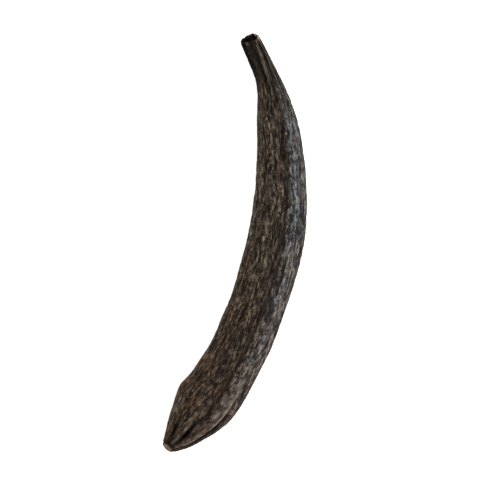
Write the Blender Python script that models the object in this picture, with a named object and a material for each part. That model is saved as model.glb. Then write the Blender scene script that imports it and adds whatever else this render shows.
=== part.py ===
"""A dried seed pod, picked from its cluster with a stub of stalk and laid on its side.

The pod grew as one piece, so it is one solid: a slender fruit bent in a flat arc, with a woody
stalk end, lengthwise ribs, folds that gather at the tip and the small scar where the flower sat.
It lies on the ground plane, its arc flat, the stalk end towards +Y and the bow towards +X, with
the middle of its box over the origin.
"""
import math

import bmesh
import bpy
from mathutils import Vector, noise

MM = 0.001

# The arc that the middle of the pod follows
CHORD = 45.0 * MM
SAGITTA = 6.75 * MM
ARC_RADIUS = (CHORD ** 2 / 4 + SAGITTA ** 2) / (2 * SAGITTA)
HALF_ANGLE = math.asin(CHORD / 2 / ARC_RADIUS)
ARC_LENGTH = 2 * ARC_RADIUS * HALF_ANGLE
# Puts the middle of the pod's box over the origin
SIDE_SHIFT = -4.27 * MM
LONG_SHIFT = 0.13 * MM

# Faces round the pod, rings along it, and how much closer the rings stand towards both ends
SIDES = 80
RINGS = 58
CROWDING = 0.45

# Each station: share of the length from the stalk end, reach of the inner side of the arc, reach
# of the outer side, half the height, and height of the middle above the ground, all in mm
STATIONS = (
    (0.000, 1.66, 0.50, 0.98, 2.05),
    (0.050, 1.56, 0.84, 1.10, 2.05),
    (0.095, 1.40, 1.18, 1.20, 2.02),
    (0.130, 1.52, 1.56, 1.42, 2.04),
    (0.190, 2.10, 2.12, 1.90, 2.18),
    (0.250, 2.36, 2.43, 2.16, 2.30),
    (0.350, 2.66, 2.76, 2.48, 2.58),
    (0.450, 2.84, 3.01, 2.68, 2.80),
    (0.560, 3.08, 2.87, 2.80, 2.90),
    (0.680, 3.04, 2.88, 2.80, 2.92),
    (0.780, 3.10, 3.04, 2.80, 2.90),
    (0.830, 3.14, 3.20, 2.84, 2.90),
    (0.868, 3.40, 3.14, 2.80, 2.84),
    (0.905, 2.92, 2.74, 2.46, 2.66),
    (0.940, 2.38, 2.20, 1.98, 2.38),
    (0.970, 1.78, 1.72, 1.46, 2.12),
    (1.000, 1.04, 0.96, 0.80, 1.90),
)
INNER, OUTER, HALF_HEIGHT, MIDDLE = 1, 2, 3, 4

# The end faces as rings, each smaller than the last: how wide it is for the end, and how far it
# stands out along the pod, in mm. The stalk is broken hollow, and the tip has a raised scar
STALK_END = ((0.95, 0.05), (0.83, -0.06), (0.70, -0.42), (0.50, -0.75), (0.28, -0.85))
TIP_END = ((0.92, 0.10), (0.78, 0.12), (0.71, 0.34), (0.52, 0.42), (0.26, 0.36))
# Relief on the end faces is gone where a ring is this wide or less
END_SMOOTH = 0.5
# Each end face leans back at its top. How far its top stands behind its middle, how far the whole
# face moves back as a share of that, and the share of the length over which the lean builds up
STALK_LEAN, TIP_LEAN = 0.52 * MM, 0.50 * MM
LEAN_BACK = 0.5
LEAN_SHARE = 0.06

# Broad crests along the pod: angle at the stalk and at the tip, height in mm (negative makes a
# hollow), half width in degrees, and the shares of the length where the crest starts and ends.
# Angles turn from the outer side of the arc, over the top at 90 degrees, to the inner side at 180
CRESTS = (
    (72, 56, 0.36, 13, 0.10, 0.97),
    (38, 34, -0.10, 17, 0.14, 0.94),
    (104, 92, -0.10, 18, 0.14, 0.94),
    (12, 22, 0.18, 13, 0.30, 1.02),
    (128, 122, 0.12, 15, 0.08, 0.90),
    (176, 168, 0.12, 16, 0.16, 1.02),
    (228, 236, 0.16, 16, 0.10, 0.96),
    (312, 306, 0.16, 16, 0.14, 0.96),
    (48, 56, 0.34, 8, 0.74, 1.08),
    (108, 92, 0.18, 9, 0.84, 1.08),
    (146, 148, 0.16, 9, 0.82, 1.08),
)
CREST_RISE, CREST_FALL, CREST_POWER = 0.14, 0.10, 1.5

# Folds that gather the tip: angle where the fold starts and at the tip, shares of the length where
# it starts and is full, depth in mm, and half width in degrees
FOLDS = (
    (88, 66, 0.885, 0.955, 0.90, 10),
    (120, 122, 0.905, 0.965, 0.70, 10),
    (39, 24, 0.760, 0.930, 0.60, 11),
    (168, 166, 0.895, 0.975, 0.30, 11),
    (212, 208, 0.895, 0.975, 0.34, 12),
    (262, 262, 0.870, 0.975, 0.42, 12),
    (316, 320, 0.900, 0.975, 0.34, 12),
)
FOLD_POWER = 1.3
# Where the folds grow shallower towards the scar, and the share of their depth that they lose
FOLD_EASE = (0.95, 1.0)
FOLD_LOST = 0.6

# Lengthwise ribs: how many there are on the body and on the neck, the depth in mm of the grooves
# between them, the shares of the length where the neck's give way to the body's, how far they
# wander as a share of their spacing, and how narrow the grooves are
RIBS, NECK_RIBS = 17, 9
RIB_DEPTH, NECK_RIB_DEPTH = 0.085, 0.24
NECK_SHARE, BODY_SHARE = 0.08, 0.24
RIB_WANDER = 0.55
GROOVE_POWER = 1.6
# Depth of a groove as a share of the usual: at its middle, its swing, and its least
GROOVE_MEAN, GROOVE_SWING, GROOVE_LEAST = 0.75, 0.55, 0.2

# Slow swells over the seeds, in mm, and the shares of the length where they come and go
SWELL = 0.10
SWELL_START, SWELL_END = (0.15, 0.30), (0.85, 0.95)

# Three kinds of slow change over the skin: how fast it turns round the pod, how many mm along the
# pod it takes, and where its pattern is read
WANDER_NOISE = (1.3, 9.0, 0.0)
DEPTH_NOISE = (2.1, 6.0, 7.0)
SWELL_NOISE = (0.8, 3.4, 3.0)

# Places where the underside is pressed flat on the ground: share of the length and angle
RESTS = ((0.255, 263), (0.570, 277), (0.868, 263))
REST_FLAT, REST_FADE = 0.75 * MM, 1.80 * MM
REST_STRETCH = 1.6

SHARP_ANGLE = math.radians(60)

# Dull brown-black skin
SKIN_COLOUR = (0.050, 0.036, 0.026, 1.0)
SKIN_ROUGHNESS = 0.55


def clear_scene():
    """Removes whatever the scene holds."""
    for obj in list(bpy.data.objects):
        bpy.data.objects.remove(obj, do_unlink=True)


def smooth_step(low, high, value):
    """Rises from 0 at low to 1 at high, with no corner at either."""
    t = min(1.0, max(0.0, (value - low) / (high - low)))
    return t * t * (3 - 2 * t)


def station_value(share, column):
    """Reads one column of the stations, in metres, on a smooth curve through its rows."""
    last = len(STATIONS) - 1
    right = next((i for i in range(1, last) if share <= STATIONS[i][0]), last)
    left = right - 1

    def slope(i):
        before, after = STATIONS[max(i - 1, 0)], STATIONS[min(i + 1, last)]
        return (after[column] - before[column]) / (after[0] - before[0])

    span = STATIONS[right][0] - STATIONS[left][0]
    t = (share - STATIONS[left][0]) / span
    value = (
        STATIONS[left][column] * (1 + 2 * t) * (1 - t) ** 2
        + slope(left) * span * t * (1 - t) ** 2
        + STATIONS[right][column] * t * t * (3 - 2 * t)
        + slope(right) * span * t * t * (t - 1)
    )
    return value * MM


def angle_apart(a, b):
    """The smaller angle between two directions, in degrees."""
    return abs((a - b + 180) % 360 - 180)


def slow_change(angle, share, kind):
    """Smooth noise on the skin, about -1 to 1, that meets itself round the pod."""
    around, along, place = kind
    turn = math.radians(angle)
    length = share * ARC_LENGTH / MM
    return noise.noise(Vector((around * math.cos(turn), around * math.sin(turn), place + length / along)))


def crest_height(angle, share):
    """Height of the broad crests, in mm, at an angle in degrees and a share of the length."""
    height = 0.0
    for at_stalk, at_tip, tall, half_width, start, end in CRESTS:
        centre = at_stalk + (at_tip - at_stalk) * share
        across = angle_apart(angle, centre) / half_width
        rise = smooth_step(start, start + CREST_RISE, share)
        fall = smooth_step(end - CREST_FALL, end, share)
        height += tall * rise * (1 - fall) * math.exp(-across ** CREST_POWER)
    return height


def fold_depth(angle, share):
    """Depth of the folds at the tip, in mm."""
    depth = 0.0
    for at_start, at_tip, start, full, deep, half_width in FOLDS:
        onward = min(1.0, max(0.0, (share - start) / (1 - start)))
        centre = at_start + (at_tip - at_start) * onward
        across = angle_apart(angle, centre) / half_width
        depth += deep * smooth_step(start, full, share) * math.exp(-across ** FOLD_POWER)
    return depth * (1 - FOLD_LOST * smooth_step(*FOLD_EASE, share))


def groove_depth(angle, share):
    """Depth, in mm, of the narrow grooves between the wandering lengthwise ribs."""
    wander = math.pi * RIB_WANDER * slow_change(angle, share, WANDER_NOISE)
    strength = GROOVE_MEAN + GROOVE_SWING * slow_change(angle, share, DEPTH_NOISE)
    body = smooth_step(NECK_SHARE, BODY_SHARE, share)
    depth = 0.0
    for count, deep, part in ((RIBS, RIB_DEPTH, body), (NECK_RIBS, NECK_RIB_DEPTH, 1 - body)):
        in_groove = 1 - abs(math.sin(count * math.radians(angle) / 2 + wander))
        depth += part * deep * in_groove ** GROOVE_POWER
    return depth * max(GROOVE_LEAST, strength)


def swell_height(angle, share):
    """Height of the slow swells over the seeds inside, in mm."""
    body = smooth_step(*SWELL_START, share) * (1 - smooth_step(*SWELL_END, share))
    return SWELL * body * slow_change(angle, share, SWELL_NOISE)


def lean_back(angle, share, width):
    """How far a point near an end moves towards the tip because the end faces lean, in metres."""
    lean = STALK_LEAN * (1 - smooth_step(0, LEAN_SHARE, share))
    lean -= TIP_LEAN * (1 - smooth_step(0, LEAN_SHARE, 1 - share))
    return lean * (LEAN_BACK + width * math.sin(math.radians(angle)))


def surface_point(angle, share, width=1.0, stand_out=0.0):
    """A point of the skin, before the underside is pressed flat.

    angle turns round the section from the outer side over the top, and share runs from the stalk
    end to the tip. On an end face, width is the ring's width for the end, and stand_out moves the
    ring towards the tip.
    """
    turn = math.radians(angle)
    bend = HALF_ANGLE * (1 - 2 * share)
    outward = Vector((math.cos(bend), math.sin(bend), 0))
    onward = Vector((math.sin(bend), -math.cos(bend), 0))
    middle = Vector((SAGITTA - ARC_RADIUS + SIDE_SHIFT, LONG_SHIFT, station_value(share, MIDDLE)))
    middle += ARC_RADIUS * outward
    inner, outer = station_value(share, INNER), station_value(share, OUTER)
    relief = crest_height(angle, share) - fold_depth(angle, share)
    relief += swell_height(angle, share) - groove_depth(angle, share)
    relief *= MM * smooth_step(END_SMOOTH, 1.0, width)
    sideways = math.cos(turn)
    across = ((outer if sideways > 0 else inner) + relief) * sideways * width
    up = (station_value(share, HALF_HEIGHT) + relief) * math.sin(turn) * width
    # An end face is centred between its two sides, which lies a little off the arc
    across += (outer - inner) / 2 * (1 - width)
    stand_out += lean_back(angle, share, width)
    return middle + across * outward + Vector((0, 0, up)) + stand_out * onward


def press_flat(point):
    """Presses a point of the underside onto the ground if it is at a resting place."""
    for share, angle in RESTS:
        away = point - surface_point(angle, share)
        bend = HALF_ANGLE * (1 - 2 * share)
        across = away.x * math.cos(bend) + away.y * math.sin(bend)
        along = away.x * math.sin(bend) - away.y * math.cos(bend)
        distance = math.hypot(across, along / REST_STRETCH)
        if point.z < station_value(share, MIDDLE):
            point.z *= smooth_step(REST_FLAT, REST_FADE, distance)


def ring_places():
    """Each ring's share, width and stand-out, from the stalk's end face to the tip's."""
    rings = [(0.0, width, -out * MM) for width, out in reversed(STALK_END)]
    for i in range(RINGS + 1):
        even = i / RINGS
        share = even - CROWDING * math.sin(2 * math.pi * even) / (2 * math.pi)
        rings.append((share, 1.0, 0.0))
    rings += [(1.0, width, out * MM) for width, out in TIP_END]
    return rings


def pod_mesh():
    """The pod's one closed skin: a drum cut into rings, each ring then carried to its place."""
    rings = ring_places()
    gaps = len(rings) - 1
    mesh = bmesh.new()
    bmesh.ops.create_cone(
        mesh, cap_ends=True, cap_tris=True, segments=SIDES, radius1=1, radius2=1, depth=gaps
    )
    long_edges = [edge for edge in mesh.edges if edge.verts[0].co.z != edge.verts[1].co.z]
    bmesh.ops.subdivide_edges(mesh, edges=long_edges, cuts=gaps - 1)
    for vert in mesh.verts:
        share, width, stand_out = rings[round(vert.co.z + gaps / 2)]
        if vert.co.xy.length < 0.5:
            vert.co = surface_point(0, share, 0.0, stand_out)
        else:
            angle = math.degrees(math.atan2(vert.co.y, vert.co.x)) % 360
            vert.co = surface_point(angle, share, width, stand_out)
        press_flat(vert.co)
    data = bpy.data.meshes.new("pod")
    mesh.to_mesh(data)
    mesh.free()
    data.shade_smooth()
    data.set_sharp_from_angle(angle=SHARP_ANGLE)
    return data


def skin_material():
    """The dull dark skin that the whole pod has."""
    material = bpy.data.materials.new("pod_skin")
    material.use_nodes = True
    shader = material.node_tree.nodes["Principled BSDF"]
    shader.inputs["Base Color"].default_value = SKIN_COLOUR
    shader.inputs["Roughness"].default_value = SKIN_ROUGHNESS
    shader.inputs["Metallic"].default_value = 0.0
    return material


def main():
    """Builds the pod where it lies."""
    clear_scene()
    pod = bpy.data.objects.new("pod", pod_mesh())
    pod.data.materials.append(skin_material())
    bpy.context.scene.collection.objects.link(pod)


main()
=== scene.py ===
"""The looks of a dried seed pod that lies on its side on a pale surface.

The pod's skin is made again from the sizes of its solid, with the fine wrinkles and the torn rim
that the solid is too coarse for. It is dry and brown, with a grey bloom that is partly painted sheen
and painted shade in its creases, and seen from above.
"""
from __future__ import annotations

import logging
import math
import random
from dataclasses import dataclass, replace
from enum import Enum
from typing import Any

import bmesh
import bpy
from mathutils import Matrix, Vector, noise


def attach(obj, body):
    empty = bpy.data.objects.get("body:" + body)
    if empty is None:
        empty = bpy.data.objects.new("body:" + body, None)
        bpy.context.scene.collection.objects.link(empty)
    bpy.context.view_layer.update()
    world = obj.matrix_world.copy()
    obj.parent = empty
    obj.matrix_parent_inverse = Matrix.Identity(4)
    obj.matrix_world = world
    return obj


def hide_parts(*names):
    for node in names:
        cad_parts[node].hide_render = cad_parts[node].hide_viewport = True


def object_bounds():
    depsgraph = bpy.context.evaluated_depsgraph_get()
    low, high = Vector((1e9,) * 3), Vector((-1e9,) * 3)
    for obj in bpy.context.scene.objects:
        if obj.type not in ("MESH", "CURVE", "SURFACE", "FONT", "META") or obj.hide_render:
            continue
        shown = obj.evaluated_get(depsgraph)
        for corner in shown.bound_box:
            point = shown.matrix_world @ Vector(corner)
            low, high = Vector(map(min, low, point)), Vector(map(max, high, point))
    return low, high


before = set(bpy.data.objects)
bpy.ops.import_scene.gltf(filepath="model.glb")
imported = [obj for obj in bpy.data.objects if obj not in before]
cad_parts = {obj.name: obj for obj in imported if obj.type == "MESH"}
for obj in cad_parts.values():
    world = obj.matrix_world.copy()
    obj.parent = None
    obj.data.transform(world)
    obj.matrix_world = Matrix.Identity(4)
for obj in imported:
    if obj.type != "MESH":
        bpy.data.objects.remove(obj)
CAD_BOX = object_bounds()

log = logging.getLogger("seed_pod")

MM = 0.001
BODY = "root"

# Share of the length where the tip's half starts
HALFWAY = 0.5

Colour = tuple[float, float, float]
Range = tuple[float, float]
Table = tuple[tuple[float, ...], ...]


def smooth_step(low: float, high: float, value: float) -> float:
    """Rises from 0 to 1 with no corner at either.

    Args:
        low: Where the rise starts.
        high: Where it ends.
        value: Where it is read.

    Returns:
        A number from 0 to 1.
    """
    t = min(1.0, max(0.0, (value - low) / (high - low)))
    return t * t * (3 - 2 * t)


def eased_row(rows: Table, key: float) -> list[float]:
    """Reads a table on a smooth curve through its rows.

    Args:
        rows: The table, sorted by its first column.
        key: The value of the first column to read at.

    Returns:
        The other columns at that value.
    """
    last = len(rows) - 1
    right = next((i for i in range(1, last) if key <= rows[i][0]), last)
    left = right - 1
    span = rows[right][0] - rows[left][0]
    t = (key - rows[left][0]) / span
    values = []
    for column in range(1, len(rows[0])):
        slopes = []
        for i in (left, right):
            before, after = rows[max(i - 1, 0)], rows[min(i + 1, last)]
            slopes.append((after[column] - before[column]) / (after[0] - before[0]))
        values.append(
            rows[left][column] * (1 + 2 * t) * (1 - t) ** 2
            + slopes[0] * span * t * (1 - t) ** 2
            + rows[right][column] * t * t * (3 - 2 * t)
            + slopes[1] * span * t * t * (t - 1)
        )
    return values


def angle_apart(a: float, b: float) -> float:
    """The smaller angle between two directions, in degrees."""
    return abs((a - b + 180) % 360 - 180)


def make_piece(mesh: bmesh.types.BMesh, name: str) -> bpy.types.Object:
    """Makes an object of the scene from a bmesh.

    Args:
        mesh: The bmesh, which is freed.
        name: The object's name.

    Returns:
        The object, at the origin.
    """
    data = bpy.data.meshes.new(name)
    mesh.to_mesh(data)
    mesh.free()
    piece = bpy.data.objects.new(name, data)
    bpy.context.scene.collection.objects.link(piece)
    return piece


def signed_angle(angle: float) -> float:
    """The same direction, from -180 to 180 degrees."""
    return (angle + 180) % 360 - 180


class End(Enum):
    """The two ends of the pod."""

    STALK = 0.0
    TIP = 1.0


@dataclass(frozen=True)
class Crest:
    """A broad crest along the pod: angles in degrees, height in mm, shares of the length.

    worn is how pale its top is, from rubbing and partly painted highlight, 0 to 1.
    """

    at_stalk: float
    at_tip: float
    height: float
    half_width: float
    start: float
    end: float
    worn_and_highlit: float = 0.0
    rise: float = 0.14
    fall: float = 0.10
    power: float = 1.5

    def height_at(self, angle: float, share: float) -> float:
        """Height of the crest.

        Args:
            angle: Direction round the section, in degrees.
            share: Share of the length from the stalk end.

        Returns:
            The height in mm.
        """
        across = angle_apart(angle, self.at_stalk + (self.at_tip - self.at_stalk) * share)
        along = smooth_step(self.start, self.start + self.rise, share)
        along *= 1 - smooth_step(self.end - self.fall, self.end, share)
        return self.height * along * math.exp(-((across / self.half_width) ** self.power))


@dataclass(frozen=True)
class Fold:
    """A fold that gathers the tip: angles and half width in degrees, depth in mm."""

    at_start: float
    at_tip: float
    start: float
    full: float
    depth: float
    half_width: float
    power: float = 1.3
    ease: tuple[float, float, float] = (0.95, 1.0, 0.6)

    def depth_at(self, angle: float, share: float) -> float:
        """Depth of the fold.

        Args:
            angle: Direction round the section, in degrees.
            share: Share of the length from the stalk end.

        Returns:
            The depth in mm.
        """
        onward = min(1.0, max(0.0, (share - self.start) / (1 - self.start)))
        middle = self.at_start + (self.at_tip - self.at_start) * onward
        across = angle_apart(angle, middle) / self.half_width
        first, last, lost = self.ease
        along = smooth_step(self.start, self.full, share) * (1 - lost * smooth_step(first, last, share))
        return self.depth * along * math.exp(-(across ** self.power))


@dataclass(frozen=True)
class SkinNoise:
    """Smooth noise over the skin that meets itself round the pod.

    around is how fast it changes round the pod, along how many mm it takes along the pod, and
    place where its pattern is read.
    """

    around: float
    along: float
    place: float

    def at(self, angle: float, length: float) -> float:
        """Reads the noise.

        Args:
            angle: Direction round the section, in degrees.
            length: How far along the pod, in mm.

        Returns:
            The noise, about -1 to 1.
        """
        turn = math.radians(angle)
        spot = (self.around * math.cos(turn), self.around * math.sin(turn), self.place + length / self.along)
        return noise.noise(Vector(spot))


@dataclass(frozen=True)
class Wrinkles:
    """A net of creases, along the lines where smooth noise is zero.

    depth is in mm, and width is how far from zero the noise may be inside a crease.
    """

    pattern: SkinNoise
    depth: float
    width: float
    power: float

    def crease_at(self, angle: float, length: float) -> float:
        """How far inside a crease a place is, 0 to 1, at an angle in degrees and a length in mm."""
        inside = 1 - abs(self.pattern.at(angle, length)) / self.width
        return max(0.0, inside) ** self.power


@dataclass(frozen=True)
class Section:
    """One cross-section of the pod, with its lengths in metres.

    outward points to the outer side of the bend, and onward along the pod towards the tip.
    """

    share: float
    middle: Vector
    outward: Vector
    onward: Vector
    inner: float
    outer: float
    half_height: float


@dataclass(frozen=True)
class Flank:
    """The flank that faces the light, where the skin has a grey bloom that is partly painted sheen.

    Its upper edge runs along the keel and strays from it by up to wander. The bloom is full beside
    that edge, over about edge_width, and face of it on the rest. A seam of painted shadow runs
    shadow_seam_above over the edge. Angles and widths are in degrees, start and end in shares of the length.
    """

    top_at_stalk: float = 71.0
    top_at_tip: float = 73.0
    top_blur: float = 1.8
    face: float = 0.78
    edge_width: float = 14.0
    low: float = 22.0
    low_blur: float = 30.0
    start: Range = (0.08, 0.24)
    end: Range = (0.92, 1.03)
    wander: float = 3.5
    shadow_seam_above: float = 6.0
    shadow_seam_width: float = 4.5

    def over_edge(self, angle: float, share: float, stray: float) -> float:
        """How many degrees a place, given as amount takes it, is over the flank's upper edge."""
        top = self.top_at_stalk + (self.top_at_tip - self.top_at_stalk) * share + self.wander * stray
        return signed_angle(angle) - top

    def ends(self, share: float) -> float:
        """Fades the flank out at its two ends, 0 to 1."""
        return smooth_step(*self.start, share) * (1 - smooth_step(*self.end, share))

    def seam(self, angle: float, share: float, stray: float) -> float:
        """How far inside the seam of painted shadow a place, given as amount takes it, is, 0 to 1."""
        over = self.over_edge(angle, share, stray) - self.shadow_seam_above
        return math.exp(-((over / self.shadow_seam_width) ** 2)) * self.ends(share)

    def amount(self, angle: float, share: float, stray: float) -> float:
        """How much bloom and painted sheen a place has.

        Args:
            angle: Direction round the section, in degrees.
            share: Share of the length.
            stray: Noise that moves the upper edge, about -1 to 1.

        Returns:
            The amount, 0 to 1.
        """
        over = self.over_edge(angle, share, stray)
        inside = 1 - smooth_step(-self.top_blur, self.top_blur, over)
        inside *= self.face + (1 - self.face) * math.exp(-((over / self.edge_width) ** 2))
        inside *= smooth_step(self.low - self.low_blur, self.low + self.low_blur, signed_angle(angle))
        return inside * self.ends(share)


@dataclass(frozen=True)
class Mark:
    """What the finish needs to know of a place on the skin, each from 0 to 1.

    groove is how much painted shade it has in grooves, creases, folds, the seam over the flank, the
    stalk's hollow and inner side, and how dark the collar round the scar is; torn how much bare wood
    it shows, scar how far into the tip's scar it is, bloom how much of the flank's bloom, partly
    painted sheen, it has, warm how reddish, and worn how pale its top is, from rubbing and partly
    painted highlight.
    """

    groove: float
    torn: float
    scar: float
    bloom_and_sheen: float
    warm: float
    worn_and_highlit: float


@dataclass
class PodShape:
    """The pod's form: the sizes of its solid, and the relief that its skin adds.

    Lengths with no unit in the name are in mm. Angles are in degrees: they turn from the outer
    side of the arc, over the top at 90, to the inner side at 180.
    """

    chord: float = 45.0
    sagitta: float = 6.75
    side_shift: float = -4.27
    long_shift: float = 0.13
    # Share of the length, reach of the inner and the outer side, half height, height of the middle
    stations: Table = (
        (0.000, 1.66, 0.50, 0.98, 2.05),
        (0.050, 1.56, 0.84, 1.10, 2.05),
        (0.095, 1.40, 1.18, 1.20, 2.02),
        (0.130, 1.52, 1.56, 1.42, 2.04),
        (0.190, 2.10, 2.12, 1.90, 2.18),
        (0.250, 2.36, 2.43, 2.16, 2.30),
        (0.350, 2.66, 2.76, 2.48, 2.58),
        (0.450, 2.84, 3.01, 2.68, 2.80),
        (0.560, 3.08, 2.87, 2.80, 2.90),
        (0.680, 3.04, 2.88, 2.80, 2.92),
        (0.780, 3.10, 3.04, 2.80, 2.90),
        (0.830, 3.14, 3.20, 2.84, 2.90),
        (0.868, 3.40, 3.14, 2.80, 2.84),
        (0.905, 2.92, 2.74, 2.46, 2.66),
        (0.940, 2.38, 2.20, 1.98, 2.38),
        (0.970, 1.78, 1.72, 1.46, 2.12),
        (1.000, 1.04, 0.96, 0.80, 1.90),
    )
    # Step across the end face from its rim, width for the end, how far it stands out
    stalk_end: Table = (
        (0, 1.00, 0.00),
        (1, 0.95, 0.05),
        (2, 0.83, -0.06),
        (3, 0.70, -0.42),
        (4, 0.50, -0.75),
        (5, 0.28, -0.85),
    )
    tip_end: Table = (
        (0, 1.00, 0.00),
        (1, 0.92, 0.10),
        (2, 0.78, 0.12),
        (3, 0.71, 0.34),
        (4, 0.52, 0.42),
        (5, 0.26, 0.36),
    )
    # Width for the end, inside which an end face has no relief
    end_smooth: float = 0.5
    # How far each end face leans back over its half height, in mm, over what share of the length,
    # and how many half heights under its middle the lean starts
    stalk_slant: float = 0.52
    tip_slant: float = 0.50
    slant_share: float = 0.06
    slant_foot: float = 0.5
    crests: tuple[Crest, ...] = (
        Crest(72, 56, 0.36, 13, 0.10, 0.97),
        Crest(38, 34, -0.10, 17, 0.14, 0.94),
        Crest(104, 92, -0.10, 18, 0.14, 0.94),
        Crest(12, 22, 0.18, 13, 0.30, 1.02),
        Crest(128, 122, 0.12, 15, 0.08, 0.90),
        Crest(176, 168, 0.12, 16, 0.16, 1.02),
        Crest(228, 236, 0.16, 16, 0.10, 0.96),
        Crest(312, 306, 0.16, 16, 0.14, 0.96),
        Crest(48, 56, 0.34, 8, 0.74, 1.08, worn_and_highlit=1.0),
        Crest(108, 92, 0.18, 9, 0.84, 1.08, worn_and_highlit=0.6),
        Crest(146, 148, 0.16, 9, 0.82, 1.08, worn_and_highlit=0.6),
    )
    folds: tuple[Fold, ...] = (
        Fold(88, 66, 0.885, 0.955, 0.90, 10),
        Fold(120, 122, 0.905, 0.965, 0.70, 10),
        Fold(39, 24, 0.760, 0.930, 0.60, 11),
        Fold(168, 166, 0.895, 0.975, 0.30, 11),
        Fold(212, 208, 0.895, 0.975, 0.34, 12),
        Fold(262, 262, 0.870, 0.975, 0.42, 12),
        Fold(316, 320, 0.900, 0.975, 0.34, 12),
    )
    ribs: int = 17
    rib_depth: float = 0.085
    neck_ribs: int = 9
    neck_rib_depth: float = 0.24
    neck_share: float = 0.08
    body_share: float = 0.24
    rib_wander: float = 0.55
    groove_power: float = 1.6
    groove_mean: float = 0.75
    groove_swing: float = 0.55
    groove_least: float = 0.2
    swell: float = 0.10
    swell_start: Range = (0.15, 0.30)
    swell_end: Range = (0.85, 0.95)
    wander_noise: SkinNoise = SkinNoise(1.3, 9.0, 0.0)
    depth_noise: SkinNoise = SkinNoise(2.1, 6.0, 7.0)
    swell_noise: SkinNoise = SkinNoise(0.8, 3.4, 3.0)
    # The relief that the solid leaves out
    wrinkles: tuple[Wrinkles, ...] = (
        Wrinkles(SkinNoise(4.8, 4.0, 21.0), 0.14, 0.13, 1.3),
        Wrinkles(SkinNoise(8.0, 1.7, 43.0), 0.10, 0.17, 1.2),
        Wrinkles(SkinNoise(13.0, 0.9, 67.0), 0.05, 0.24, 1.0),
    )
    warp: float = 3.0
    warp_noise: SkinNoise = SkinNoise(2.4, 2.2, 91.0)
    patch_noise: SkinNoise = SkinNoise(3.4, 1.7, 113.0)
    patch_mean: float = 0.72
    patch_swing: float = 0.60
    # How much more painted shade a crease gets than its share of the deepest kind's depth
    crease_shade_dark: float = 0.2
    flank: Flank = Flank()
    rim_noise: SkinNoise = SkinNoise(3.0, 1.0, 131.0)
    rim_tear: float = 0.16
    # Share and angle of each place where the underside is pressed flat, and its sizes
    rests: tuple[tuple[float, float], ...] = ((0.255, 263), (0.570, 277), (0.868, 263))
    rest_flat: float = 0.75
    rest_fade: float = 1.80
    rest_stretch: float = 1.6

    def __post_init__(self) -> None:
        """Works out the arc and the places where the pod rests."""
        self.arc_radius = (self.chord ** 2 / 4 + self.sagitta ** 2) / (2 * self.sagitta)
        self.half_angle = math.asin(self.chord / 2 / self.arc_radius)
        self.arc_length = 2 * self.arc_radius * self.half_angle
        self.rest_places = []
        for share, angle in self.rests:
            section = self.section(share)
            relief = self.solid_relief(angle, share)
            self.rest_places.append((section, self.skin_point(section, angle, relief)))

    def section(self, share: float) -> Section:
        """Works out one cross-section.

        Args:
            share: Share of the length from the stalk end.

        Returns:
            The section there.
        """
        inner, outer, half_height, height = eased_row(self.stations, share)
        bend = self.half_angle * (1 - 2 * share)
        outward = Vector((math.cos(bend), math.sin(bend), 0))
        onward = Vector((math.sin(bend), -math.cos(bend), 0))
        centre = Vector((self.sagitta - self.arc_radius + self.side_shift, self.long_shift, height))
        middle = (centre + self.arc_radius * outward) * MM
        return Section(share, middle, outward, onward, inner * MM, outer * MM, half_height * MM)

    def rib_groove(self, angle: float, share: float) -> tuple[float, float]:
        """The narrow groove between two wandering ribs.

        Args:
            angle: Direction round the section.
            share: Share of the length.

        Returns:
            The depth in mm, and how far inside a groove the place is, 0 to 1.
        """
        length = share * self.arc_length
        wander = math.pi * self.rib_wander * self.wander_noise.at(angle, length)
        body = smooth_step(self.neck_share, self.body_share, share)
        strength = self.groove_mean + self.groove_swing * self.depth_noise.at(angle, length)
        strength = max(self.groove_least, strength)
        depth = inside = 0.0
        kinds = ((self.ribs, self.rib_depth, body), (self.neck_ribs, self.neck_rib_depth, 1 - body))
        for count, deep, share_of in kinds:
            narrow = 1 - abs(math.sin(count * math.radians(angle) / 2 + wander))
            narrow **= self.groove_power
            depth += share_of * deep * strength * narrow
            inside += share_of * narrow
        return depth, inside

    def solid_relief(self, angle: float, share: float) -> float:
        """Relief of the solid: crests, swells, folds and ribs.

        Args:
            angle: Direction round the section.
            share: Share of the length.

        Returns:
            The height in mm.
        """
        relief = sum(crest.height_at(angle, share) for crest in self.crests)
        relief -= sum(fold.depth_at(angle, share) for fold in self.folds)
        body = smooth_step(*self.swell_start, share) * (1 - smooth_step(*self.swell_end, share))
        relief += self.swell * body * self.swell_noise.at(angle, share * self.arc_length)
        return relief - self.rib_groove(angle, share)[0]

    def fine_relief(self, angle: float, share: float) -> tuple[float, float]:
        """The net of fine wrinkles.

        Args:
            angle: Direction round the section.
            share: Share of the length.

        Returns:
            The depth in mm, and how much painted shade the creases there get, 0 to 1.
        """
        length = share * self.arc_length
        warped = angle + self.warp * self.warp_noise.at(angle, length)
        patch = max(0.0, self.patch_mean + self.patch_swing * self.patch_noise.at(angle, length))
        depth = dark = 0.0
        for wrinkle in self.wrinkles:
            crease = wrinkle.crease_at(warped, length)
            depth += wrinkle.depth * crease * patch
            dark = max(dark, crease * min(1.0, wrinkle.depth / self.wrinkles[0].depth + self.crease_shade_dark))
        return depth, min(1.0, dark * patch)

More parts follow.
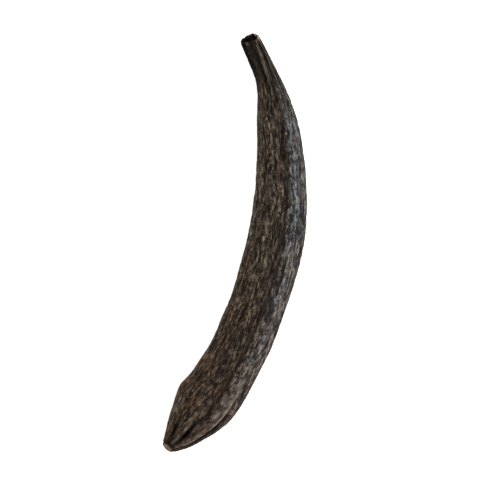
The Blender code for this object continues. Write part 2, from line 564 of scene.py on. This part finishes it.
    def skin_point(
        self, section: Section, angle: float, relief: float, width: float = 1.0, stand_out: float = 0.0
    ) -> Vector:
        """A point of the skin, before the underside is pressed flat.

        Args:
            section: The cross-section that it is in.
            angle: Direction round the section.
            relief: Height over the plain section, in mm.
            width: On an end face, the ring's width for the end.
            stand_out: How far the ring is moved towards the tip, in mm.

        Returns:
            The point in metres.
        """
        turn = math.radians(angle)
        raised = relief * MM * smooth_step(self.end_smooth, 1.0, width)
        sideways = math.cos(turn)
        across = ((section.outer if sideways > 0 else section.inner) + raised) * sideways * width
        across += (section.outer - section.inner) / 2 * (1 - width)
        up = (section.half_height + raised) * math.sin(turn) * width
        near_stalk = 1 - smooth_step(0, self.slant_share, section.share)
        near_tip = 1 - smooth_step(0, self.slant_share, 1 - section.share)
        slant = self.stalk_slant * near_stalk - self.tip_slant * near_tip
        stand_out += slant * (self.slant_foot + math.sin(turn) * width)
        return (
            section.middle
            + across * section.outward
            + Vector((0, 0, up))
            + stand_out * MM * section.onward
        )

    def press_flat(self, point: Vector) -> None:
        """Presses a point of the underside onto the ground if it is at a resting place.

        Args:
            point: The point in metres, which is moved.
        """
        for section, place in self.rest_places:
            away = point - place
            along = away.dot(section.onward) / self.rest_stretch
            distance = math.hypot(away.dot(section.outward), along)
            if point.z < section.middle.z:
                point.z *= smooth_step(self.rest_flat * MM, self.rest_fade * MM, distance)


@dataclass(frozen=True)
class Ring:
    """One ring of the skin.

    share is its share of the length. On an end face, width is its width for the end, stand_out how
    far it is moved towards the tip in mm, and step how far across the face it lies.
    """

    share: float
    width: float = 1.0
    stand_out: float = 0.0
    step: float = 0.0


@dataclass
class PodSkin:
    """The pod's skin, from the torn stalk to the scar on the tip.

    A pair of numbers says where something starts and where it is full or gone: in steps across an
    end face where it is called steps, and in shares of the length where it is called reach. Those
    called dark say how dark a thing is, 0 to 1.
    """

    shape: PodShape
    sides: int = 400
    rings: int = 208
    end_rings: int = 16
    # How much closer the rings lie towards the ends
    crowding: float = 0.45
    # Radius in mm of the straight rod that the finish reads its patterns on
    rod_radius: float = 2.80
    # Painted shade in the grooves between ribs, deeper on the neck, and in the folds, and painted shadow in
    # the seam over the flank
    rib_shade_dark: float = 0.6
    neck_reach: Range = (0.05, 0.18)
    fold_shade_dark: Range = (0.15, 0.65)
    shadow_seam_dark: float = 0.85
    # Painted shade on the inner side of the stalk, and the angles where it starts and ends
    shade_dark: float = 0.95
    shade_start: Range = (95, 150)
    shade_end: Range = (200, 260)
    shade_reach: Range = (0.06, 0.16)
    # The ragged rim of the stalk, and how fast its noise changes with each step
    tear_reach: Range = (0.0, 0.05)
    tear_pace: float = 0.15
    # The bare wood on that rim: its mean, its noise, and the lit side where there is most of it, so that the
    # rim is paler there and darker in painted shade opposite
    torn_reach: Range = (0.0, 0.010)
    torn_mean: float = 0.5
    torn_swing: float = 0.9
    torn_pace: float = 0.4
    torn_turn: float = 40
    torn_lit_side: float = 0.75
    torn_lit_side_angle: float = -20
    # Painted shade in the stalk's hollow, by steps across its end face
    hollow_shade_steps: Range = (1.0, 2.1)
    # The scar on the tip and the dark collar round it
    scar_steps: Range = (2.6, 5.0)
    collar_dark: float = 0.9
    collar_start_steps: Range = (1.4, 2.2)
    collar_end_steps: Range = (3.4, 4.2)
    # How far into a groove the pale ridges of the neck go, which are pale from rubbing and partly painted
    # highlight kept out of the painted shade, and where the skin turns reddish
    ridge_width: Range = (0.0, 0.06)
    warm_reach: Range = (0.40, 0.85)

    def end_face(self, end: End, table: Table, onward: int) -> list[Ring]:
        """Works out the rings of an end face.

        Args:
            end: Which end.
            table: Its sizes, as PodShape gives them.
            onward: 1 at the tip and -1 at the stalk, where standing out is away from the tip.

        Returns:
            The rings, from the rim to the middle.
        """
        rings = []
        for i in range(1, self.end_rings + 1):
            step = table[-1][0] * i / self.end_rings
            width, out = eased_row(table, step)
            rings.append(Ring(end.value, width, onward * out, step))
        return rings

    def ring_places(self) -> list[Ring]:
        """Works out all the rings.

        Returns:
            The rings, from the middle of the stalk's end face to the middle of the tip's.
        """
        places = self.end_face(End.STALK, self.shape.stalk_end, -1)[::-1]
        for i in range(self.rings + 1):
            even = i / self.rings
            places.append(Ring(even - self.crowding * math.sin(2 * math.pi * even) / (2 * math.pi)))
        return places + self.end_face(End.TIP, self.shape.tip_end, 1)

    def shade(self, angle: float, share: float) -> float:
        """How far inside the painted shade on the inner side of the stalk a place is, 0 to 1."""
        around = smooth_step(*self.shade_start, angle) * (1 - smooth_step(*self.shade_end, angle))
        return around * (1 - smooth_step(*self.shade_reach, share))

    def tear(self, ring: Ring, angle: float) -> float:
        """How far the ragged rim of the stalk is moved towards the tip, in mm."""
        ragged = self.shape.rim_tear * self.shape.rim_noise.at(angle, ring.step * self.tear_pace)
        return ragged * (1 - smooth_step(*self.tear_reach, ring.share))

    def torn(self, ring: Ring, angle: float) -> float:
        """Works out how much bare wood shows at the stalk's rim, more on its lit side as painted light and
        less in the painted shade opposite.

        Args:
            ring: The ring of the place.
            angle: Direction round the section, in degrees.

        Returns:
            The amount, 0 to 1.
        """
        patch = self.shape.rim_noise.at(angle + self.torn_turn, ring.step * self.torn_pace)
        # More bare wood on the lit side, less on the far side: painted light and shade
        lit_sided = self.torn_lit_side * math.cos(math.radians(angle - self.torn_lit_side_angle))
        amount = min(1.0, max(0.0, self.torn_mean + self.torn_swing * patch + lit_sided))
        return amount * (1 - smooth_step(*self.torn_reach, ring.share))

    def place(self, ring: Ring, section: Section, angle: float) -> tuple[Vector, Mark]:
        """Works out where a point of a ring goes and what it looks like.

        Args:
            ring: The ring.
            section: The cross-section of the ring.
            angle: Direction round the section.

        Returns:
            The point in metres and its mark.
        """
        shape, share, step = self.shape, ring.share, ring.step
        rib_inside = shape.rib_groove(angle, share)[1]
        crease_depth, crease_shade_dark = shape.fine_relief(angle, share)
        folded = sum(fold.depth_at(angle, share) / fold.depth for fold in shape.folds)
        stray = shape.warp_noise.at(angle, share * shape.arc_length)
        shade = self.shade(angle, share)
        neck = 1 - smooth_step(*self.neck_reach, share)
        # Painted shade in rib grooves, creases and folds, on the stalk's inner side, and in the seam over
        # the flank
        darks = [
            (self.rib_shade_dark + (1 - self.rib_shade_dark) * neck) * rib_inside,
            crease_shade_dark,
            smooth_step(*self.fold_shade_dark, folded),
            self.shade_dark * shade,
            self.shadow_seam_dark * shape.flank.seam(angle, share, stray),
        ]
        stand_out = ring.stand_out
        torn = scar = 0.0
        if share < HALFWAY:
            # Painted shade in the stalk's hollow
            hollow = smooth_step(*self.hollow_shade_steps, step)
            darks.append(hollow)
            torn = self.torn(ring, angle) * (1 - hollow)
            stand_out += self.tear(ring, angle)
        else:
            scar = smooth_step(*self.scar_steps, step)
            collar = smooth_step(*self.collar_start_steps, step)
            darks.append(self.collar_dark * collar * (1 - smooth_step(*self.collar_end_steps, step)))
        relief = shape.solid_relief(angle, share) - crease_depth
        point = shape.skin_point(section, angle, relief, ring.width, stand_out)
        shape.press_flat(point)
        # Pale tops of crests and of the neck's ridges, from rubbing and partly painted highlight; the neck's
        # ridges stay out of the painted shade
        crest = max(c.worn_and_highlit * c.height_at(angle, share) / c.height for c in shape.crests)
        pale_lit_ridge = neck * (1 - smooth_step(*self.ridge_width, rib_inside)) * (1 - shade)
        bloom_and_sheen = shape.flank.amount(angle, share, stray)
        warm = smooth_step(*self.warm_reach, share)
        return point, Mark(min(1.0, max(darks)), torn, scar, bloom_and_sheen, warm, max(crest, pale_lit_ridge))

    def build(self) -> bpy.types.Object:
        """Makes the skin: a drum cut into rings, each ring then carried to its place.

        Returns:
            The finished object, at the origin.
        """
        rings = self.ring_places()
        gaps = len(rings) - 1
        sections = [self.shape.section(ring.share) for ring in rings]
        drum_radius = 1.0
        mesh = bmesh.new()
        bmesh.ops.create_cone(
            mesh,
            cap_ends=True,
            cap_tris=True,
            segments=self.sides,
            radius1=drum_radius,
            radius2=drum_radius,
            depth=gaps,
        )
        long_edges = [edge for edge in mesh.edges if edge.verts[0].co.z != edge.verts[1].co.z]
        bmesh.ops.subdivide_edges(mesh, edges=long_edges, cuts=gaps - 1)
        straight = mesh.verts.layers.float_vector.new("straight")
        marks = mesh.verts.layers.float_vector.new("marks")
        tones = mesh.verts.layers.float_vector.new("tones")
        for vert in mesh.verts:
            i = round(vert.co.z + gaps / 2)
            on_axis = vert.co.xy.length < drum_radius / 2
            turn = 0.0 if on_axis else math.atan2(vert.co.y, vert.co.x)
            ring = replace(rings[i], width=0.0) if on_axis else rings[i]
            point, mark = self.place(ring, sections[i], math.degrees(turn) % 360)
            vert[straight] = (
                self.rod_radius * math.cos(turn) * ring.width,
                self.rod_radius * math.sin(turn) * ring.width,
                ring.share * self.shape.arc_length + ring.stand_out,
            )
            vert[marks] = (mark.groove, mark.torn, mark.scar)
            vert[tones] = (mark.bloom_and_sheen, mark.warm, mark.worn_and_highlit)
            vert.co = point
        skin = make_piece(mesh, "pod_skin")
        skin.data.shade_smooth()
        return skin


@dataclass
class StalkFibres:
    """The woody strands that stand in the hollow of the torn stalk.

    Radii, heights and floor, the depth of their roots, are in mm, and angles in degrees. reach is
    the width for the end that they fill. A strand out at full width would be shorter by shorten,
    and a strand's top is taper as thick as its root.
    """

    shape: PodShape
    count: int = 30
    sides: int = 6
    radius: Range = (0.028, 0.060)
    height: Range = (0.16, 0.46)
    reach: float = 0.50
    lean: float = 14.0
    floor: float = 0.82
    shorten: float = 0.45
    taper: float = 0.55
    sharp_angle: float = 50
    seed: int = 11

    def build(self) -> bpy.types.Object:
        """Makes the strands, each a thin blunt cone rooted in the floor of the hollow.

        Returns:
            The finished object, at the origin.
        """
        draw = random.Random(self.seed)
        section = self.shape.section(End.STALK.value)
        mesh = bmesh.new()
        backward = -section.onward
        upright = Vector((0, 0, 1))
        base = Matrix((section.outward, upright, backward)).transposed()
        for _ in range(self.count):
            turn = draw.uniform(0, 360)
            width = self.reach * math.sqrt(draw.random())
            root = self.shape.skin_point(section, turn, 0.0, width, self.floor)
            tall = draw.uniform(*self.height) * (1 - self.shorten * width)
            thick = draw.uniform(*self.radius)
            lean = Matrix.Rotation(math.radians(draw.gauss(0, self.lean)), 3, "X")
            lean @= Matrix.Rotation(math.radians(draw.gauss(0, self.lean)), 3, "Y")
            turned = (base @ lean).to_4x4()
            shift = Matrix.Translation(root) @ turned @ Matrix.Translation((0, 0, tall / 2 * MM))
            bmesh.ops.create_cone(
                mesh,
                cap_ends=True,
                segments=self.sides,
                radius1=thick * MM,
                radius2=thick * self.taper * MM,
                depth=tall * MM,
                matrix=shift,
            )
        fibres = make_piece(mesh, "stalk_fibres")
        fibres.data.shade_smooth()
        fibres.data.set_sharp_from_angle(angle=math.radians(self.sharp_angle))
        return fibres


class Wire:
    """A socket that arithmetic can be written on, which adds Math nodes to its recipe."""

    def __init__(self, recipe: Recipe, socket: bpy.types.NodeSocket) -> None:
        """Keeps the recipe and the socket."""
        self.recipe = recipe
        self.socket = socket

    def _math(self, operation: str, *values: Wire | float) -> Wire:
        """Adds one Math node."""
        return self.recipe.node("ShaderNodeMath", {"operation": operation}, dict(enumerate(values)))

    def __add__(self, other: Wire | float) -> Wire:
        """self + other."""
        return self._math("ADD", self, other)

    def __sub__(self, other: Wire | float) -> Wire:
        """self - other."""
        return self._math("SUBTRACT", self, other)

    def __rsub__(self, other: Wire | float) -> Wire:
        """other - self."""
        return self._math("SUBTRACT", other, self)

    def __mul__(self, other: Wire | float) -> Wire:
        """self * other."""
        return self._math("MULTIPLY", self, other)

    __radd__ = __add__
    __rmul__ = __mul__

    def between(self, low: float, high: float) -> Wire:
        """Rises smoothly from 0 at low to 1 at high."""
        return self.recipe.node(
            "ShaderNodeMapRange",
            {"interpolation_type": "SMOOTHSTEP"},
            {"Value": self, "From Min": low, "From Max": high},
        )


class Recipe:
    """The node tree of one material, with a Principled shader at its end."""

    def __init__(self, name: str) -> None:
        """Makes the material with its shader.

        Args:
            name: The material's name.
        """
        self.material = bpy.data.materials.new(name)
        self.material.use_nodes = True
        self.tree = self.material.node_tree
        self.shader = self.tree.nodes["Principled BSDF"]

    def node(
        self,
        kind: str,
        settings: dict[str, Any] | None = None,
        inputs: dict[str | int, Any] | None = None,
        output: str | int = 0,
    ) -> Wire:
        """Adds a node.

        Args:
            kind: The node's type.
            settings: Its properties, set before its sockets.
            inputs: A value or a wire for each socket, by name or number.
            output: The socket that the wire starts from.

        Returns:
            The wire.
        """
        made = self.tree.nodes.new(kind)
        for name, value in (settings or {}).items():
            setattr(made, name, value)
        for name, value in (inputs or {}).items():
            self.put(made.inputs[name], value)
        return Wire(self, made.outputs[output])

    def put(self, socket: bpy.types.NodeSocket, value: Any) -> None:
        """Links a wire to a socket, or sets the socket's own value.

        Args:
            socket: The socket.
            value: A wire, or a number or colour that the socket takes.
        """
        if isinstance(value, Wire):
            self.tree.links.new(value.socket, socket)
        elif isinstance(value, tuple) and len(value) == 3 and socket.type == "RGBA":
            socket.default_value = (*value, 1.0)
        else:
            socket.default_value = value

    def finish(self, **inputs: Any) -> bpy.types.Material:
        """Sets the shader's sockets.

        Args:
            **inputs: A value or a wire for each socket, with _ for a space in its name.

        Returns:
            The material.
        """
        for name, value in inputs.items():
            self.put(self.shader.inputs[name.replace("_", " ")], value)
        return self.material

    def mix(self, factor: Wire | float, low: Wire | Colour, high: Wire | Colour) -> Wire:
        """Mixes two colours, from low at factor 0 to high at factor 1."""
        return self.node("ShaderNodeMix", {"data_type": "RGBA"}, {0: factor, 6: low, 7: high}, 2)

    def attribute(self, name: str) -> Wire:
        """The vector that a piece's own mesh holds under that name."""
        return self.node("ShaderNodeAttribute", {"attribute_name": name}, None, "Vector")

    def parts(self, vector: Wire) -> tuple[Wire, ...]:
        """The three numbers of a vector."""
        first = self.node("ShaderNodeSeparateXYZ", None, {0: vector})
        return tuple(Wire(self, socket) for socket in first.socket.node.outputs)

    def stretched(self, place: Wire, along: float, shift: float = 0.0) -> Wire:
        """The place, scaled and then moved along the pod."""
        return self.node(
            "ShaderNodeMapping",
            {"vector_type": "POINT"},
            {"Vector": place, "Scale": (1.0, 1.0, along), "Location": (0.0, 0.0, shift)},
        )

    def noise(self, place: Wire, scale: float, detail: float, rough: float) -> Wire:
        """Smooth noise, 0 to 1, with finer noise in it."""
        return self.node(
            "ShaderNodeTexNoise",
            {"noise_dimensions": "3D"},
            {"Vector": place, "Scale": scale, "Detail": detail, "Roughness": rough},
        )


@dataclass(frozen=True)
class Grain:
    """Noise that is drawn out along the pod.

    along scales its place along the pod, scale, detail and rough say how fine it is, and shift
    moves it so that no two patterns agree.
    """

    along: float
    scale: float
    detail: float
    rough: float
    shift: float = 0.0

    def on(self, r: Recipe, place: Wire) -> Wire:
        """The noise at a place, 0 to 1."""
        return r.noise(r.stretched(place, self.along, self.shift), self.scale, self.detail, self.rough)


@dataclass(frozen=True)
class Coat:
    """A colour on the skin where a noise is high, or where it is low.

    It comes on as the noise goes from low to high, or back. Where it is full it covers amount of
    what is under it, and warmer more at the reddish end of the pod.
    """

    low: float
    high: float
    amount: float = 1.0
    warmer: float = 0.0

    def on(self, noise: Wire, warm: Wire) -> Wire:
        """How much it covers a place if it lies where the noise is high, 0 to 1."""
        amount = self.amount + self.warmer * warm if self.warmer else self.amount
        return noise.between(self.low, self.high) * amount

    def under(self, noise: Wire) -> Wire:
        """How much it covers a place if it lies where the noise is low, 0 to 1."""
        return (1.0 - noise.between(self.low, self.high)) * self.amount


@dataclass(frozen=True)
class SkinFinish:
    """A dry, dull brown skin with a grey bloom that is partly painted sheen, painted shade in its creases,
    and tan where it is torn.
    """

    # Colours, from the ground upwards
    umber: Colour = (0.026, 0.015, 0.008)
    olive: Colour = (0.062, 0.044, 0.027)
    russet: Colour = (0.086, 0.039, 0.017)
    # burnt is the near-black ground of the neck
    neck_ground: Colour = (0.014, 0.009, 0.006)
    # soot is near black, for dark threads, dashes and cracks, and for painted shade in grooves, creases and
    # folds
    soot_and_shade: Colour = (0.006, 0.003, 0.0015)
    dry: Colour = (0.280, 0.225, 0.165)
    straw: Colour = (0.294, 0.205, 0.134)
    thread: Colour = (0.296, 0.252, 0.192)
    # bloom and blush are the bloom's grey and its pinkish end, partly the skin's own colour and partly
    # painted sheen
    bloom_and_sheen: Colour = (0.198, 0.226, 0.266)
    pink_bloom_and_sheen: Colour = (0.270, 0.215, 0.188)
    # rubbed is for pale tops of crests and ridges, from rubbing and partly painted highlight
    rubbed_and_highlit: Colour = (0.370, 0.285, 0.230)
    fleck: Colour = (0.330, 0.250, 0.170)
    tan: Colour = (0.780, 0.580, 0.430)
    scar: Colour = (0.480, 0.270, 0.120)
    # The noises, from the broadest to the finest
    clouds: Grain = Grain(0.6, 0.8, 5.0, 0.65)
    patches: Grain = Grain(0.35, 1.2, 4.0, 0.6, 31.0)
    flares: Grain = Grain(0.42, 1.7, 3.0, 0.60, 23.0)
    cracks: Grain = Grain(0.45, 2.2, 2.0, 0.5, 11.0)
    threads: Grain = Grain(0.32, 3.4, 6.0, 0.75, 71.0)
    dashes: Grain = Grain(0.50, 3.6, 5.0, 0.70, 57.0)
    streaks: Grain = Grain(0.46, 3.8, 3.0, 0.6)
    pores: Grain = Grain(0.9, 4.6, 3.0, 0.65, 83.0)
    fibre: Grain = Grain(0.12, 4.6, 4.0, 0.65)
    # The coats of the skin, in the order that they go on
    olive_coat: Coat = Coat(0.36, 0.64)
    russet_coat: Coat = Coat(0.42, 0.56, 0.30, 0.65)
    dry_coat: Coat = Coat(0.48, 0.64, 0.48, -0.10)
    pale_fibres: Coat = Coat(0.53, 0.66, 0.32, 0.22)
    pale_threads: Coat = Coat(0.49, 0.63)
    dark_threads: Coat = Coat(0.40, 0.51)
    dry_pores: Coat = Coat(0.56, 0.70, 0.45)
    dark_dashes: Coat = Coat(0.48, 0.60, 0.90, 0.05)
    dark_fibres: Coat = Coat(0.36, 0.47, 0.75)
    flank_cracks: Coat = Coat(0.52, 0.58, 0.90)
    # How far the painted shade in grooves, creases and folds covers the skin
    groove_shade_amount: float = 0.95
    # Reddish patches that have fewer pale threads, and by how much fewer
    bare_patches: Coat = Coat(0.46, 0.60, 0.45)
    # The bloom, partly painted sheen: its even part, its dashes of painted highlight, their share of the
    # streaks, and its reddish end
    bloom_and_sheen_amount: float = 0.30
    sheen_dashes: Coat = Coat(0.66, 0.75)
    sheen_dash_amount: float = 0.80
    sheen_dash_streaks: float = 0.4
    pink_bloom_and_sheen_amount: float = 0.9
    # The pale ridges, from rubbing and partly painted highlight: their least, what the streaks add and what
    # the dashes take away
    rubbed_and_highlit_least: float = 0.20
    rubbed_and_highlit_streaks: Coat = Coat(0.40, 0.56, 0.60)
    rubbed_and_highlit_dashes: Coat = Coat(0.48, 0.56, 0.5)
    # Pale flecks: their stretch, their scale, and their coat by the distance from the middle
    fleck_along: float = 0.6
    fleck_scale: float = 0.6
    fleck_coat: Coat = Coat(0.03, 0.08, 0.8)
    # The neck: where it ends in mm, how much it covers, and its ridges
    neck_end: Range = (3.0, 8.5)
    neck_amount: float = 0.90
    neck_ridges: Coat = Coat(0.36, 0.56, 0.75)
    # The bare wood: its least, and what the fibres add
    wood_least: float = 0.15
    wood_fibres: Coat = Coat(0.38, 0.60, 0.85)
    # The scar: its reddish rim, its orange middle, and the pith's least and its pattern
    scar_rim: Range = (0.25, 0.45)
    scar_middle: Range = (0.48, 0.92)
    pith_least: float = 0.10
    pith_flares: Coat = Coat(0.42, 0.60, 0.65)
    pith_streaks: Coat = Coat(0.38, 0.60, 0.35)
    # Gloss, and the depth in mm and the mixture of the fine bumps
    roughness: float = 0.58
    sheen_dash_gloss: float = 0.14
    dash_roughness: float = 0.16
    ior: float = 1.45
    specular: float = 0.20
    bump_depth: float = 0.20
    bump_streaks: float = 0.5
    bump_pores: float = 0.4
    bump_fibre: float = 0.5
    bump_threads: float = 0.6
    bump_dashes: float = 0.7

    def material(self) -> bpy.types.Material:
        """Makes the material. Its patterns follow the pod as if it were straight, in mm.

        Returns:
            The material.
        """
        r = Recipe("pod_skin")
        place = r.attribute("straight")
        groove, torn, scar = r.parts(r.attribute("marks"))
        flank, warm, worn_and_highlit = r.parts(r.attribute("tones"))
        clouds, patches, flares = (grain.on(r, place) for grain in (self.clouds, self.patches, self.flares))
        cracks, threads, dashes = (grain.on(r, place) for grain in (self.cracks, self.threads, self.dashes))
        streaks, pores, fibre = (grain.on(r, place) for grain in (self.streaks, self.pores, self.fibre))
        # The ground
        colour = r.mix(self.olive_coat.on(clouds, warm), self.umber, self.olive)
        colour = r.mix(self.russet_coat.on(patches, warm), colour, self.russet)
        pale = r.mix(warm, self.dry, self.straw)
        colour = r.mix(self.dry_coat.on(streaks, warm) * (1.0 - groove), colour, pale)
        colour = r.mix(self.pale_fibres.on(fibre, warm), colour, pale)
        # The bloom on the flank, partly painted sheen, with dashes of painted highlight
        sheen_dash_cover = self.sheen_dashes.on(streaks * self.sheen_dash_streaks + flares, warm) * flank
        frost_and_sheen = r.mix(warm * self.pink_bloom_and_sheen_amount, self.bloom_and_sheen, self.pink_bloom_and_sheen)
        colour = r.mix(self.bloom_and_sheen_amount * flank + sheen_dash_cover * self.sheen_dash_amount, colour, frost_and_sheen)
        # Threads, pores, dashes and cracks
        thread = r.mix(warm, self.thread, self.straw)
        bare = self.bare_patches.on(patches, warm) * warm * (1.0 - flank)
        colour = r.mix(self.pale_threads.on(threads, warm) * (1.0 - bare), colour, thread)
        colour = r.mix(self.dark_threads.under(threads), colour, self.soot_and_shade)
        colour = r.mix(self.dry_pores.on(pores, warm), colour, self.dry)
        colour = r.mix(self.dark_dashes.on(dashes, warm), colour, self.soot_and_shade)
        colour = r.mix(self.dark_fibres.under(fibre), colour, self.soot_and_shade)
        colour = r.mix(self.flank_cracks.on(cracks, warm) * flank, colour, self.soot_and_shade)
        # Pale ridges, from rubbing and partly painted highlight, painted shade in grooves, creases and
        # folds, and flecks
        rubbed_and_highlit = worn_and_highlit * (self.rubbed_and_highlit_least + self.rubbed_and_highlit_streaks.on(streaks, warm))
        colour = r.mix(rubbed_and_highlit * (1.0 - self.rubbed_and_highlit_dashes.on(dashes, warm)), colour, self.rubbed_and_highlit)
        colour = r.mix(groove * self.groove_shade_amount, colour, self.soot_and_shade)
        colour = r.mix(self.flecks(r, place), colour, self.fleck)
        # The neck: a near-black ground with pale ridges, from rubbing and partly painted highlight, and
        # painted shade in its grooves; then the bare wood on its rim and the scar on the tip
        ribbed = r.mix(self.neck_ridges.on(fibre, warm) * worn_and_highlit, self.neck_ground, self.dry)
        ribbed = r.mix(groove, ribbed, self.soot_and_shade)
        neck = 1.0 - r.parts(place)[2].between(*self.neck_end)
        colour = r.mix(self.neck_amount * neck, colour, ribbed)
        wood = r.mix(self.wood_least + self.wood_fibres.on(fibre, warm), self.umber, self.tan)
        colour = r.mix(torn, colour, wood)
        colour = r.mix(scar.between(*self.scar_rim), colour, self.russet)
        pith = self.pith_flares.on(flares, warm) + self.pith_streaks.on(streaks, warm)
        pith = self.pith_least + (1.0 - self.pith_least) * pith
        colour = r.mix(scar.between(*self.scar_middle) * pith, colour, self.scar)
        height = streaks * self.bump_streaks + pores * self.bump_pores + fibre * self.bump_fibre
        height = height + threads * self.bump_threads - dashes * self.bump_dashes
        bump = r.node(
            "ShaderNodeBump", None, {"Height": height, "Strength": 1.0, "Distance": self.bump_depth * MM}
        )
        return r.finish(
            Base_Color=colour,
            Roughness=self.roughness - self.sheen_dash_gloss * sheen_dash_cover + self.dash_roughness * dashes,
            Normal=bump,
            IOR=self.ior,
            Specular_IOR_Level=self.specular,
        )

    def flecks(self, r: Recipe, place: Wire) -> Wire:
        """Works out the pale flecks.

        Args:
            r: The recipe that they are for.
            place: Where the pattern is read.

        Returns:
            How much a fleck covers a place, 0 to 1.
        """
        distance = r.node(
            "ShaderNodeTexVoronoi",
            {"feature": "F1"},
            {"Vector": r.stretched(place, self.fleck_along), "Scale": self.fleck_scale},
        )
        return self.fleck_coat.under(distance)


@dataclass(frozen=True)
class FibreFinish:
    """Dry wood, as where a stalk is torn, darker than the bare wood on the rim: painted shade for the hollow
    that the strands stand in.
    """

    pale: Colour = (0.20, 0.13, 0.08)
    dark: Colour = (0.03, 0.018, 0.010)
    roughness: float = 0.8
    # Scale, detail and roughness of the noise, and where the pale wood starts and is full
    noise: tuple[float, float, float] = (4200.0, 3.0, 0.6)
    pale_range: Range = (0.35, 0.65)

    def material(self) -> bpy.types.Material:
        """Makes the material, with its grain on Object coordinates.

        Returns:
            The material.
        """
        r = Recipe("stalk_fibre")
        place = r.node("ShaderNodeTexCoord", None, None, "Object")
        grain = r.noise(place, *self.noise)
        colour = r.mix(grain.between(*self.pale_range), self.dark, self.pale)
        return r.finish(Base_Color=colour, Roughness=self.roughness)


@dataclass(frozen=True)
class FloorFinish:
    """Plain white matt paper."""

    white: Colour = (0.93, 0.93, 0.93)
    shade: Colour = (0.90, 0.90, 0.905)
    light: Colour = (1.0, 1.0, 1.0)
    glow: float = 0.75
    roughness: float = 0.9
    # Scale, detail and roughness of the noise, and where the shade starts and is full
    noise: tuple[float, float, float] = (40.0, 3.0, 0.6)
    shade_range: Range = (0.35, 0.65)

    def material(self) -> bpy.types.Material:
        """Makes the material, with the faintest cloudiness.

        Returns:
            The material.
        """
        r = Recipe("paper")
        place = r.node("ShaderNodeTexCoord", None, None, "Object")
        cloud = r.noise(place, *self.noise)
        return r.finish(
            Base_Color=r.mix(cloud.between(*self.shade_range), self.white, self.shade),
            Roughness=self.roughness,
            Emission_Color=self.light,
            Emission_Strength=self.glow,
        )


@dataclass(frozen=True)
class Lamp:
    """A soft box that faces the pod. azimuth turns from the picture's right towards its top."""

    name: str
    azimuth: float
    elevation: float
    distance: float
    size: float
    energy: float
    colour: Colour


@dataclass(frozen=True)
class Studio:
    """The pale floor, the soft light and the camera above."""

    # How far the pod leans clockwise from upright in the picture, in degrees
    lean: float = 11.67
    # Height of the picture's frame over the pod's length
    frame_share: float = 1.16
    lens: float = 110.0
    near_clip: float = 0.01
    floor_size: float = 3.0
    lamps: tuple[Lamp, ...] = (
        Lamp("key_lamp", 5, 34, 0.45, 0.20, 2.6, (0.92, 0.96, 1.0)),
        Lamp("fill_lamp", 165, 22, 0.50, 0.30, 1.6, (1.0, 0.87, 0.72)),
    )
    sky: Colour = (1.0, 1.0, 1.0)
    sky_strength: float = 0.215

    def build_floor(self) -> None:
        """Lays the floor under the pod."""
        mesh = bmesh.new()
        bmesh.ops.create_grid(mesh, x_segments=1, y_segments=1, size=self.floor_size / 2)
        floor = make_piece(mesh, "floor")
        floor.data.materials.append(FloorFinish().material())

    def build_light(self) -> None:
        """Hangs the lamps and lights the room."""
        turn = math.radians(self.lean)
        for lamp in self.lamps:
            data = bpy.data.lights.new(lamp.name, "AREA")
            data.shape = "DISK"
            data.size = lamp.size
            data.energy = lamp.energy
            data.color = lamp.colour
            around, up = math.radians(lamp.azimuth) + turn, math.radians(lamp.elevation)
            away = Vector((math.cos(around) * math.cos(up), math.sin(around) * math.cos(up), math.sin(up)))
            box = bpy.data.objects.new(lamp.name, data)
            box.location = away * lamp.distance
            box.rotation_euler = away.to_track_quat("Z", "Y").to_euler()
            bpy.context.scene.collection.objects.link(box)
        world = bpy.data.worlds.new("room")
        world.use_nodes = True
        background = world.node_tree.nodes["Background"]
        background.inputs["Color"].default_value = (*self.sky, 1.0)
        background.inputs["Strength"].default_value = self.sky_strength
        bpy.context.scene.world = world
        bpy.context.scene.view_settings.view_transform = "Standard"

    def build_camera(self) -> None:
        """Hangs the camera over the pod, turned so that the pod leans as in the photograph."""
        low, high = CAD_BOX
        centre = (low + high) / 2
        data = bpy.data.cameras.new("camera")
        data.lens = self.lens
        data.clip_start = self.near_clip
        span = (high.y - low.y) * self.frame_share
        camera = bpy.data.objects.new("camera", data)
        camera.location = (centre.x, centre.y, centre.z + span * self.lens / data.sensor_width)
        camera.rotation_euler = (0, 0, math.radians(self.lean))
        bpy.context.scene.collection.objects.link(camera)
        bpy.context.scene.camera = camera


def dress(piece: bpy.types.Object, material: bpy.types.Material) -> None:
    """Gives a new piece its material and its place on the body.

    Args:
        piece: The piece.
        material: The material.
    """
    piece.data.materials.append(material)
    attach(piece, BODY)
    log.info("%s: %d faces", piece.name, len(piece.data.polygons))


def main() -> None:
    """Builds the pod's pieces and the studio."""
    logging.basicConfig(level=logging.INFO, format="%(name)s: %(message)s")
    shape = PodShape()
    skin = PodSkin(shape).build()
    dress(skin, SkinFinish().material())
    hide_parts("pod")
    dress(StalkFibres(shape).build(), FibreFinish().material())
    studio = Studio()
    studio.build_floor()
    studio.build_light()
    studio.build_camera()


if __name__ == "__main__":
    main()
